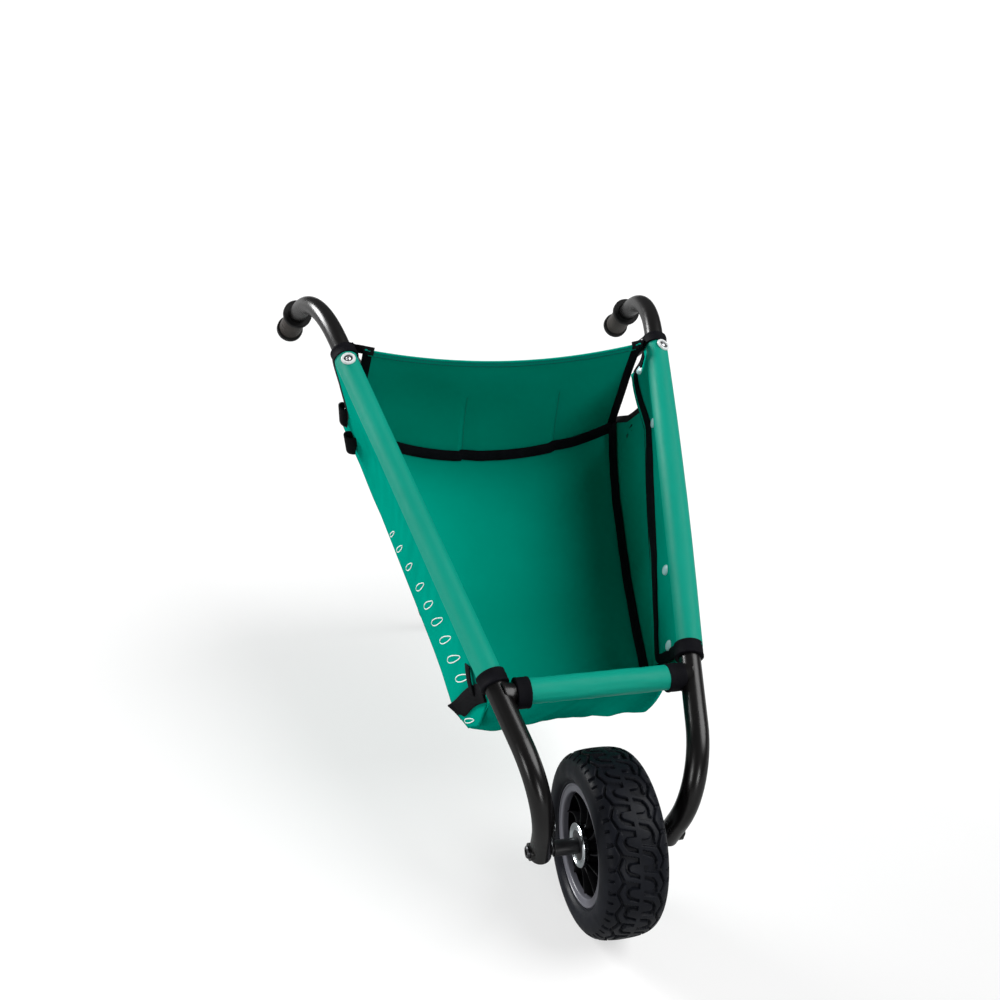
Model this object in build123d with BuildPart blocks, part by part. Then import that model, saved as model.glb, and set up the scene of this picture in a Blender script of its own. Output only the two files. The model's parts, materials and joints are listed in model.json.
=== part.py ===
"""Child's single-wheel barrow: bent steel tube frame, fabric trough, knobbly wheel and rear stand."""

import os
from math import atan2, degrees, hypot

from build123d import *

# ---- driving dimensions, millimetres -------------------------------------------------

# wheel
wheel_radius = 101.0
tyre_half_width = 37.0
tyre_bead_radius = 67.0
tyre_shoulder_radius = 93.5
tyre_shoulder_half = 32.0
tyre_seat_bite = 1.0
rim_half_width = 31.0
rim_ring_width = 10.0
rim_ring_depth = 3.0
rim_web_half = 5.0
rim_barrel_wall = 3.0
spoke_count = 10
spoke_width = 7.0
spoke_bite = 1.5
hub_radius = 21.0
hub_half_length = 34.0
hub_cup_radius = 24.0
hub_cup_depth = 5.0
hub_cup_wall = 1.2

# bearings and axle
bearing_outer_radius = 16.0
bearing_inner_radius = 6.0
bearing_width = 10.0
race_thickness = 3.0
ball_count = 8
ball_clearance = 0.05
bearing_inset = 1.0
bearing_ledge = 3.0
axle_radius = 6.0
axle_reach = 91.5
axle_head_radius = 6.8
boss_radius = 9.5
boss_stand = 1.0
axle_chamfer = 0.8
axle_socket_radius = 3.5
axle_socket_depth = 6.0
spacer_radius = 8.75
spacer_gap = 1.2

# frame tubes
tube_radius = 12.5
tube_wall = 1.5
crossbar_radius = 11.0
leg_radius = 9.0
fork_bend_radius = 81.0
handle_bend_radius = 160.0
leg_bend_radius = 60.0
foot_bend_radius = 24.0

# the frame's corners, measured from the middle of the axle: across, back and up
axle_y = -343.7
fork_half = 75.0
fork_bend = (85.5, -31.0, 93.0)
handle_bend = (238.9, 634.0, 416.6)
grip_end = (256.0, 777.5, 306.5)
fork_tail = 7.6
plug_chamfer = 0.9
plug_cap = 1.4
screw_radius = 4.0
screw_height = 2.5
weld_reach = 130.5
leg_start = 527.0
leg_corners = ((182.0, 582.0, 318.0), (158.0, 625.0, 235.0), (69.0, 575.0, -88.0))

# feet
foot_half_width = 13.0
foot_length = 28.0
foot_inset = 22.0
foot_chamfer = 1.0
spigot_half_length = 20.0

# grips
grip_radius = 15.5
grip_flange_radius = 20.0
grip_cap_radius = 18.5
grip_length = 69.0
grip_flange_width = 6.0
grip_cap_width = 9.0
grip_chamfer = 1.2
grip_end_wall = 1.0

# fabric, webbing and trim
cloth = 2.0
webbing = 2.0
binding = 4.0
flap_band = 12.0
sleeve_radius = 14.6
cuff_radius = 16.0
sleeve_front = 17.0
sleeve_rear = 515.0
cuff_length = 16.0
bar_sleeve_half = 81.0
bar_sleeve_radius = 13.3
bar_cuff_radius = 14.5
bar_cuff_length = 15.0
stud_radius = 6.0
stud_height = 2.5
stud_places = ((474.0, 38.0), (382.0, 28.0), (161.0, 37.0), (67.0, 45.0))
ring_outer = 9.0
ring_inner = 4.2
ring_height = 1.6
rivet_radius = 4.0
rivet_dome = 1.6
rivet_round = 1.5
ring_place = 501.0

# the trough: distance back along the tubes, half width and depth below the tube plane
trough_front = 8.0
trough_toe = 60.0
trough_rear = 488.0
floor_half = {trough_front: 110.0, trough_toe: 127.0, trough_rear: 196.0}
floor_depth = {trough_front: 108.0, trough_toe: 143.0, trough_rear: 163.0}
floor_sag_front = 6.0
floor_sag_rear = 34.0
strip_depth_front = 106.0
strip_depth_rear = 56.0
flap_half_top = 184.0
flap_rise = 14.0
flap_sag = 30.0
strip_gap = 2.6
strip_rear_edge = 484.0
stud_gap = 1.3
panel_rear_edge = 458.0
scoop_depth = 119.0
scoop_place = 466.0
panel_gap = 0.5
front_gap = 2.0
seam_gap = 0.3
strap_stations = (28.0, 53.0)
tab_places = ((470.0, 129.0), (446.0, 147.0))
tab_half = 9.0
tab_depth = 14.0
tab_gap = 0.3


def from_axle(across, back, up):
    """A point given from the middle of the axle, in the part's frame."""
    return Vector(across, axle_y + back, wheel_radius + up)


# ---- lines and planes that the pieces share -------------------------------------------

fork_corner = from_axle(*fork_bend)
handle_corner = from_axle(*handle_bend)
fork_centre = from_axle(fork_half, 0, 0)
fork_down = (fork_centre - fork_corner).normalized()
fork_tip = fork_centre + fork_down * fork_tail
tube_run = (handle_corner - fork_corner).normalized()
grip_tip = from_axle(*grip_end)
grip_run = (grip_tip - handle_corner).normalized()

slope = degrees(atan2(tube_run.Z, tube_run.Y))
toe_out = tube_run.X / hypot(tube_run.Y, tube_run.Z)
back_along = Vector(0, 1, 0).rotate(Axis.X, slope)
weld_point = fork_corner + tube_run * weld_reach
crossbar_half = weld_point.X
crossbar_centre = Vector(0, weld_point.Y, weld_point.Z)

side_view = Plane(origin=crossbar_centre, x_dir=back_along, z_dir=(1, 0, 0))
wheel_axis = Plane(origin=from_axle(0, 0, 0), x_dir=(0, 1, 0), z_dir=(1, 0, 0))


def section_plane(along):
    """A plane across the trough: local x is across, local y is depth below the tubes."""
    origin = crossbar_centre + back_along * along
    return Plane(origin=origin, x_dir=(1, 0, 0), z_dir=back_along)


def tube_plane(along):
    """A plane square to the right-hand side tube, at a distance along it from the weld."""
    return Plane(origin=weld_point + tube_run * along, z_dir=tube_run)


def tube_half(along):
    return crossbar_half + toe_out * along


def between(table, along):
    """Straight-line value between the stations of a trough table."""
    stations = sorted(table)
    low, high = stations[:2] if along <= stations[1] else stations[1:]
    share = (along - low) / (high - low)
    return table[low] + share * (table[high] - table[low])


def side_across(along, depth):
    """Half width of the side panel's middle at a depth."""
    top = sleeve_radius
    share = (depth - top) / (between(floor_depth, along) - top)
    return tube_half(along) + share * (between(floor_half, along) - tube_half(along))


def sheet_section(along, top, bottom, inner, outer):
    """Outline of a sheet that follows the side panel from one depth to another."""
    high = side_across(along, top)
    low = side_across(along, bottom)
    points = [(high + inner, top), (high + outer, top), (low + outer, bottom), (low + inner, bottom)]
    with BuildSketch(section_plane(along)) as section:
        with BuildLine():
            Polyline(points, close=True)
        make_face()
    return section.sketch


def strip_bottom(along):
    share = (along - trough_toe) / (strip_rear_edge - trough_toe)
    return strip_depth_front + share * (strip_depth_rear - strip_depth_front)


# right-hand pieces, each written again mirrored for the left
pairs = {}
singles = {}

# ---- frame ----------------------------------------------------------------------------

with BuildPart() as side_tube:
    with BuildLine() as side_path:
        FilletPolyline(
            fork_tip,
            fork_corner,
            handle_corner,
            grip_tip - grip_run * grip_end_wall,
            radius=[fork_bend_radius, handle_bend_radius],
        )
    with BuildSketch(Plane(origin=fork_tip, z_dir=-fork_down)):
        Circle(tube_radius)
        Circle(tube_radius - tube_wall, mode=Mode.SUBTRACT)
    sweep()
    with BuildSketch(wheel_axis):
        Circle(axle_radius)
    extrude(amount=2 * fork_half, mode=Mode.SUBTRACT)
pairs["side_tube"] = side_tube

with BuildPart() as tube_envelope:
    with BuildSketch(tube_plane(-2 * tube_radius)):
        Circle(tube_radius)
    extrude(amount=2 * tube_radius + leg_start + 2 * leg_radius)

with BuildPart() as left_envelope:
    mirror(tube_envelope.part, about=Plane.YZ)

with BuildPart() as front_crossbar:
    with BuildSketch(Plane(origin=crossbar_centre, x_dir=(0, 1, 0), z_dir=(1, 0, 0))):
        Circle(crossbar_radius)
        Circle(crossbar_radius - tube_wall, mode=Mode.SUBTRACT)
    extrude(amount=crossbar_half, both=True)
    add(tube_envelope.part, mode=Mode.SUBTRACT)
    add(left_envelope.part, mode=Mode.SUBTRACT)
singles["front_crossbar"] = front_crossbar

leg_top = weld_point + tube_run * leg_start
leg_points = [leg_top] + [from_axle(*corner) for corner in leg_corners]
leg_first = (leg_points[1] - leg_points[0]).normalized()
foot_middle = Vector(0, leg_points[-1].Y, leg_points[-1].Z)
with BuildPart() as stand_leg:
    with BuildLine():
        FilletPolyline(*leg_points, foot_middle, radius=[leg_bend_radius, leg_bend_radius, foot_bend_radius])
    with BuildSketch(Plane(origin=leg_top, z_dir=leg_first)):
        Circle(leg_radius)
        Circle(leg_radius - tube_wall, mode=Mode.SUBTRACT)
    sweep()
    add(tube_envelope.part, mode=Mode.SUBTRACT)
pairs["stand_leg"] = stand_leg

bar_plane = Plane(origin=foot_middle, x_dir=(0, 1, 0), z_dir=(1, 0, 0))
foot_plane = bar_plane.offset(foot_inset)
foot_drop = foot_middle.Z
with BuildPart() as stand_foot:
    with BuildSketch(foot_plane):
        Circle(foot_half_width)
        with Locations((0, -foot_drop / 2)):
            Rectangle(2 * foot_half_width, foot_drop)
        Circle(leg_radius, mode=Mode.SUBTRACT)
    extrude(amount=foot_length)
    chamfer(stand_foot.edges().filter_by(GeomType.CIRCLE).sort_by(SortBy.RADIUS)[-2:], length=foot_chamfer)
pairs["stand_foot"] = stand_foot

with BuildPart() as stand_spigot:
    with BuildSketch(bar_plane):
        Circle(leg_radius - tube_wall)
    extrude(amount=spigot_half_length, both=True)
singles["stand_spigot"] = stand_spigot

with BuildPart() as fork_plug:
    with BuildSketch(Plane(origin=fork_tip, z_dir=fork_down)):
        Circle(tube_radius)
    extrude(amount=plug_cap)
    plug_end = fork_plug.faces().filter_by(GeomType.PLANE).sort_by(Axis(fork_tip, fork_down))[-1]
    chamfer(plug_end.edges(), length=plug_chamfer)
pairs["fork_plug"] = fork_plug

with BuildPart() as fork_screw:
    with BuildSketch(Plane(origin=fork_tip + fork_down * plug_cap, z_dir=fork_down)):
        Circle(screw_radius)
    extrude(amount=screw_height)
    with BuildSketch(Plane(origin=fork_tip + fork_down * (plug_cap + screw_height), z_dir=fork_down)):
        RegularPolygon(screw_radius / 2, 6)
    extrude(amount=-screw_height / 2, mode=Mode.SUBTRACT)
pairs["fork_screw"] = fork_screw

grip_start = grip_tip - grip_run * grip_length
with BuildPart() as grip:
    with BuildSketch(Plane(origin=grip_start, z_dir=grip_run)):
        Circle(grip_radius)
    extrude(amount=grip_length)
    with BuildSketch(Plane(origin=grip_start, z_dir=grip_run)):
        Circle(grip_flange_radius)
    extrude(amount=grip_flange_width)
    with BuildSketch(Plane(origin=grip_tip, z_dir=-grip_run)):
        Circle(grip_cap_radius)
    extrude(amount=grip_cap_width)
    with BuildSketch(Plane(origin=grip_start, z_dir=grip_run)):
        Circle(tube_radius)
    extrude(amount=grip_length - grip_end_wall, mode=Mode.SUBTRACT)
    chamfer(grip.edges().filter_by(GeomType.CIRCLE).sort_by(SortBy.RADIUS)[-4:], length=grip_chamfer)
pairs["grip"] = grip

# ---- axle, spacers and bearings ---------------------------------------------------------

with BuildPart() as fork_envelope:
    with BuildSketch(Plane(origin=fork_centre, z_dir=fork_down)):
        Circle(tube_radius)
    extrude(amount=2 * tube_radius, both=True)

boss_reach = fork_half + tube_radius + boss_stand
with BuildPart() as axle_boss:
    with BuildSketch(wheel_axis.offset(fork_half)):
        Circle(boss_radius)
        Circle(axle_radius, mode=Mode.SUBTRACT)
    extrude(amount=boss_reach - fork_half)
    add(fork_envelope.part, mode=Mode.SUBTRACT)
pairs["axle_boss"] = axle_boss



def axle_end(side):
    return Plane(origin=from_axle(side * axle_reach, 0, 0), x_dir=(0, 1, 0), z_dir=(side, 0, 0))


with BuildPart() as axle:
    with BuildSketch(wheel_axis):
        Circle(axle_radius)
    extrude(amount=axle_reach, both=True)
    with BuildSketch(axle_end(1), axle_end(-1)):
        Circle(axle_head_radius)
    extrude(amount=boss_reach - axle_reach)
    with BuildSketch(axle_end(1), axle_end(-1)):
        RegularPolygon(axle_socket_radius, 6)
    extrude(amount=-axle_socket_depth, mode=Mode.SUBTRACT)
    chamfer(axle.edges().filter_by(GeomType.CIRCLE).group_by(Axis.X)[-1], length=axle_chamfer)
    chamfer(axle.edges().filter_by(GeomType.CIRCLE).group_by(Axis.X)[0], length=axle_chamfer)
singles["axle"] = axle

bearing_outside = hub_half_length - bearing_inset
bearing_inside = bearing_outside - bearing_width
race_middle = (bearing_inside + bearing_outside) / 2
inner_race_radius = bearing_inner_radius + race_thickness
outer_race_radius = bearing_outer_radius - race_thickness
ball_track = (inner_race_radius + outer_race_radius) / 2
ball_radius = (outer_race_radius - inner_race_radius) / 2 - ball_clearance

with BuildPart() as inner_race:
    with BuildSketch(wheel_axis.offset(bearing_inside)):
        Circle(inner_race_radius)
        Circle(bearing_inner_radius, mode=Mode.SUBTRACT)
    extrude(amount=bearing_width)
pairs["bearing_inner_race"] = inner_race

with BuildPart() as outer_race:
    with BuildSketch(wheel_axis.offset(bearing_inside)):
        Circle(bearing_outer_radius)
        Circle(outer_race_radius, mode=Mode.SUBTRACT)
    extrude(amount=bearing_width)
pairs["bearing_outer_race"] = outer_race

with BuildPart() as balls:
    with Locations(wheel_axis.offset(race_middle)):
        with PolarLocations(ball_track, ball_count):
            Sphere(ball_radius)
pairs["bearing_balls"] = balls

spacer_outside = fork_half - tube_radius - spacer_gap
with BuildPart() as spacer:
    with BuildSketch(wheel_axis.offset(bearing_outside)):
        Circle(spacer_radius)
        Circle(axle_radius, mode=Mode.SUBTRACT)
    extrude(amount=spacer_outside - bearing_outside)
pairs["axle_spacer"] = spacer

# ---- wheel ------------------------------------------------------------------------------

barrel_radius = tyre_bead_radius - tyre_seat_bite
spoke_inside = hub_radius - spoke_bite
spoke_outside = barrel_radius - rim_barrel_wall + spoke_bite
spoke_middle = (spoke_inside + spoke_outside) / 2
spoke_length = spoke_outside - spoke_inside
with BuildPart() as rim:
    with BuildSketch(wheel_axis):
        Circle(hub_radius)
    extrude(amount=hub_half_length - hub_cup_depth, both=True)
    with BuildSketch(wheel_axis):
        Circle(barrel_radius)
        Circle(barrel_radius - rim_barrel_wall, mode=Mode.SUBTRACT)
    extrude(amount=rim_half_width - rim_ring_depth, both=True)
    with BuildSketch(wheel_axis):
        with PolarLocations(0, spoke_count):
            with Locations((spoke_middle, 0)):
                Rectangle(spoke_length, spoke_width)
    extrude(amount=rim_web_half, both=True)
    with BuildSketch(wheel_axis):
        Circle(bearing_outer_radius)
    extrude(amount=hub_half_length, both=True, mode=Mode.SUBTRACT)
    with BuildSketch(wheel_axis):
        Circle(bearing_outer_radius)
        Circle(bearing_outer_radius - bearing_ledge, mode=Mode.SUBTRACT)
    extrude(amount=bearing_inside, both=True)
singles["wheel_rim"] = rim

with BuildPart() as rim_ring:
    with BuildSketch(wheel_axis.offset(rim_half_width - rim_ring_depth)):
        Circle(barrel_radius)
        Circle(barrel_radius - rim_ring_width, mode=Mode.SUBTRACT)
    extrude(amount=rim_ring_depth)
pairs["rim_ring"] = rim_ring

with BuildPart() as hub_cup:
    with BuildSketch(wheel_axis.offset(hub_half_length - hub_cup_depth)):
        Circle(hub_cup_radius)
        Circle(bearing_outer_radius, mode=Mode.SUBTRACT)
    extrude(amount=hub_cup_depth)
    with BuildSketch(wheel_axis.offset(hub_half_length)):
        Circle(hub_cup_radius - hub_cup_wall)
        Circle(bearing_outer_radius + hub_cup_wall, mode=Mode.SUBTRACT)
    extrude(amount=hub_cup_wall - hub_cup_depth, mode=Mode.SUBTRACT)
pairs["hub_cup"] = hub_cup

tyre_waist_radius = (barrel_radius + tyre_shoulder_radius) / 2
tyre_profile = Plane(origin=from_axle(0, 0, 0), x_dir=(1, 0, 0), z_dir=(0, -1, 0))
with BuildPart() as tyre:
    with BuildSketch(tyre_profile):
        with BuildLine():
            ThreePointArc(
                (-tyre_shoulder_half, tyre_shoulder_radius),
                (0, wheel_radius),
                (tyre_shoulder_half, tyre_shoulder_radius),
            )
            ThreePointArc(
                (tyre_shoulder_half, tyre_shoulder_radius),
                (tyre_half_width, tyre_waist_radius),
                (rim_half_width, barrel_radius),
            )
            Line((rim_half_width, barrel_radius), (-rim_half_width, barrel_radius))
            ThreePointArc(
                (-rim_half_width, barrel_radius),
                (-tyre_half_width, tyre_waist_radius),
                (-tyre_shoulder_half, tyre_shoulder_radius),
            )
        make_face()
    revolve(axis=Axis(from_axle(0, 0, 0), (1, 0, 0)))
singles["tyre"] = tyre

# ---- sleeves and cuffs ------------------------------------------------------------------


def tube_wrap(start, length, outer, inner):
    """A cloth tube round the right-hand side tube."""
    with BuildPart() as wrap:
        with BuildSketch(tube_plane(start)):
            Circle(outer)
            Circle(inner, mode=Mode.SUBTRACT)
        extrude(amount=length)
    return wrap


def bar_wrap(start, length, outer):
    """A cloth tube round the crossbar."""
    with BuildPart() as wrap:
        with BuildSketch(Plane(origin=crossbar_centre + Vector(start, 0, 0), z_dir=(1, 0, 0))):
            Circle(outer)
            Circle(crossbar_radius, mode=Mode.SUBTRACT)
        extrude(amount=length)
    return wrap


sleeve_length = sleeve_rear - sleeve_front - 2 * cuff_length
pairs["sleeve"] = tube_wrap(sleeve_front + cuff_length, sleeve_length, sleeve_radius, tube_radius)
pairs["front_cuff"] = tube_wrap(sleeve_front, cuff_length, cuff_radius, tube_radius)
pairs["rear_cuff"] = tube_wrap(sleeve_rear - cuff_length, cuff_length, cuff_radius, tube_radius)
singles["crossbar_sleeve"] = bar_wrap(-bar_sleeve_half, 2 * bar_sleeve_half, bar_sleeve_radius)
pairs["crossbar_cuff"] = bar_wrap(bar_sleeve_half, bar_cuff_length, bar_cuff_radius)

# ---- trough -----------------------------------------------------------------------------

panel_top = cuff_radius + panel_gap
half_cloth = cloth / 2
cut_margin = 9.0
with BuildPart() as side_panel:
    for station in (trough_front, trough_toe, trough_rear):
        add(sheet_section(station, panel_top, between(floor_depth, station), -half_cloth, half_cloth))
    loft(ruled=True)
    with BuildSketch(side_view):
        with BuildLine():
            Polyline(
                (trough_rear + cut_margin, -panel_top + cut_margin),
                (panel_rear_edge, -panel_top + cut_margin),
                (panel_rear_edge, -strip_depth_rear),
                (scoop_place, -scoop_depth),
                (trough_rear, -floor_depth[trough_rear]),
                (trough_rear + cut_margin, -floor_depth[trough_rear]),
                close=True,
            )
        make_face()
    extrude(amount=2 * flap_half_top, mode=Mode.SUBTRACT)
pairs["side_panel"] = side_panel


def floor_section(along, sag):
    """Outline of the floor cloth, hanging in an arc between its two side seams."""
    half = between(floor_half, along) + half_cloth
    depth = between(floor_depth, along)
    with BuildSketch(section_plane(along)) as section:
        with BuildLine():
            ThreePointArc((-half, depth), (0, depth + sag), (half, depth))
            Line((half, depth), (half, depth + cloth))
            ThreePointArc((half, depth + cloth), (0, depth + sag + cloth), (-half, depth + cloth))
            Line((-half, depth + cloth), (-half, depth))
        make_face()
    return section.sketch


with BuildPart() as floor_panel:
    add(floor_section(trough_toe, floor_sag_front))
    add(floor_section(trough_rear, floor_sag_rear))
    loft(ruled=True)
singles["floor_panel"] = floor_panel

front_top = bar_cuff_radius + front_gap


def toe_section(along):
    """Outline of the lower front cloth where it slopes down to the floor."""
    half = floor_half[along] - half_cloth - seam_gap
    depth = floor_depth[along]
    with BuildSketch(section_plane(along)) as section:
        with Locations((0, depth - half_cloth)):
            Rectangle(2 * half, cloth)
    return section.sketch


with BuildPart() as front_panel:
    with BuildSketch(side_view):
        with BuildLine():
            Polyline(
                (0, -front_top),
                (trough_front, -floor_depth[trough_front]),
                (trough_front + cloth, -floor_depth[trough_front]),
                (cloth, -front_top),
                close=True,
            )
        make_face()
    extrude(amount=floor_half[trough_front] - half_cloth - seam_gap, both=True)
    add(toe_section(trough_front))
    add(toe_section(trough_toe))
    loft(ruled=True)
singles["front_panel"] = front_panel

flap_half_low = floor_half[trough_rear] + half_cloth
flap_low = floor_depth[trough_rear] + cloth
flap_bottom = flap_low + floor_sag_rear
flap_hem = flap_sag - flap_rise
with BuildPart() as rear_flap:
    with BuildSketch(section_plane(trough_rear)):
        with BuildLine():
            ThreePointArc((-flap_half_low, flap_low), (0, flap_bottom), (flap_half_low, flap_low))
            Line((flap_half_low, flap_low), (flap_half_top, -flap_rise))
            ThreePointArc((flap_half_top, -flap_rise), (0, flap_hem), (-flap_half_top, -flap_rise))
            Line((-flap_half_top, -flap_rise), (-flap_half_low, flap_low))
        make_face()
    extrude(amount=cloth)
singles["rear_flap"] = rear_flap

strip_face = -half_cloth - strip_gap
with BuildPart() as closing_strip:
    for station in (trough_toe, strip_rear_edge):
        add(sheet_section(station, panel_top, strip_bottom(station), strip_face - cloth, strip_face))
    loft(ruled=True)
pairs["closing_strip"] = closing_strip

with BuildPart() as studs:
    for place, depth in stud_places:
        across = side_across(place, depth) + strip_face - cloth - stud_gap
        centre = crossbar_centre + back_along * place + Vector(across, 0, 0)
        centre = centre + side_view.y_dir * -depth
        with Locations(Plane(origin=centre, x_dir=back_along, z_dir=(-1, 0, 0))):
            Cylinder(stud_radius, stud_height, align=(Align.CENTER, Align.CENTER, Align.MIN))
pairs["press_studs"] = studs

# ---- seams, straps and rivets -------------------------------------------------------------


def seam_section(along):
    """A square of bias binding in the corner between floor and side panel."""
    depth = between(floor_depth, along)
    outer = side_across(along, depth) - half_cloth
    high = depth - binding
    top = side_across(along, high) - half_cloth
    points = [(outer, depth), (top, high), (top - binding, high), (outer - binding, depth)]
    with BuildSketch(section_plane(along)) as section:
        with BuildLine():
            Polyline(points, close=True)
        make_face()
    return section.sketch


with BuildPart() as floor_binding:
    add(seam_section(trough_toe))
    add(seam_section(panel_rear_edge))
    loft(ruled=True)
pairs["floor_binding"] = floor_binding

band_top = flap_low - flap_band
with BuildPart() as flap_binding:
    with BuildSketch(section_plane(trough_rear + cloth)):
        with BuildLine():
            ThreePointArc((-flap_half_low, flap_low), (0, flap_bottom), (flap_half_low, flap_low))
            Line((flap_half_low, flap_low), (flap_half_low, band_top))
            ThreePointArc((flap_half_low, band_top), (0, flap_bottom - flap_band), (-flap_half_low, band_top))
            Line((-flap_half_low, band_top), (-flap_half_low, flap_low))
        make_face()
    extrude(amount=cloth)
singles["flap_binding"] = flap_binding

with BuildPart() as corner_strap:
    for station in strap_stations:
        depth = between(floor_depth, station)
        add(sheet_section(station, panel_top, depth, half_cloth, half_cloth + webbing))
    loft(ruled=True)
pairs["corner_strap"] = corner_strap

tab_inner = half_cloth + tab_gap
tab_outer = tab_inner + 2 * webbing
with BuildPart() as rear_tabs:
    for place, depth in tab_places:
        for station in (place - tab_half, place + tab_half):
            add(sheet_section(station, depth - tab_depth / 2, depth + tab_depth / 2, tab_inner, tab_outer))
        loft(ruled=True)
pairs["rear_tabs"] = rear_tabs

ring_normal = side_view.y_dir
ring_centre = weld_point + tube_run * ring_place + ring_normal * cuff_radius
ring_seat = Plane(origin=ring_centre, x_dir=(1, 0, 0), z_dir=ring_normal)
with BuildPart() as collar_ring:
    with BuildSketch(ring_seat):
        Circle(ring_outer)
        Circle(ring_inner, mode=Mode.SUBTRACT)
    extrude(amount=ring_height)
pairs["collar_ring"] = collar_ring

with BuildPart() as collar_rivet:
    with BuildSketch(ring_seat):
        Circle(rivet_radius)
    extrude(amount=ring_height + rivet_dome)
    rivet_faces = collar_rivet.faces().filter_by(GeomType.PLANE)
    rivet_top = rivet_faces.sort_by(Axis(ring_centre, ring_normal))[-1]
    fillet(rivet_top.edges(), radius=rivet_round)
pairs["collar_rivet"] = collar_rivet

# ---- write every piece ----------------------------------------------------------------------

os.makedirs("parts", exist_ok=True)
for name, piece in singles.items():
    piece.part.label = name
    export_step(piece.part, f"parts/{name}.step")

for name, piece in pairs.items():
    piece.part.label = name + "_right"
    export_step(piece.part, f"parts/{name}_right.step")
    with BuildPart() as mirrored:
        mirror(piece.part, about=Plane.YZ)
    mirrored.part.label = name + "_left"
    export_step(mirrored.part, f"parts/{name}_left.step")
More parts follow.
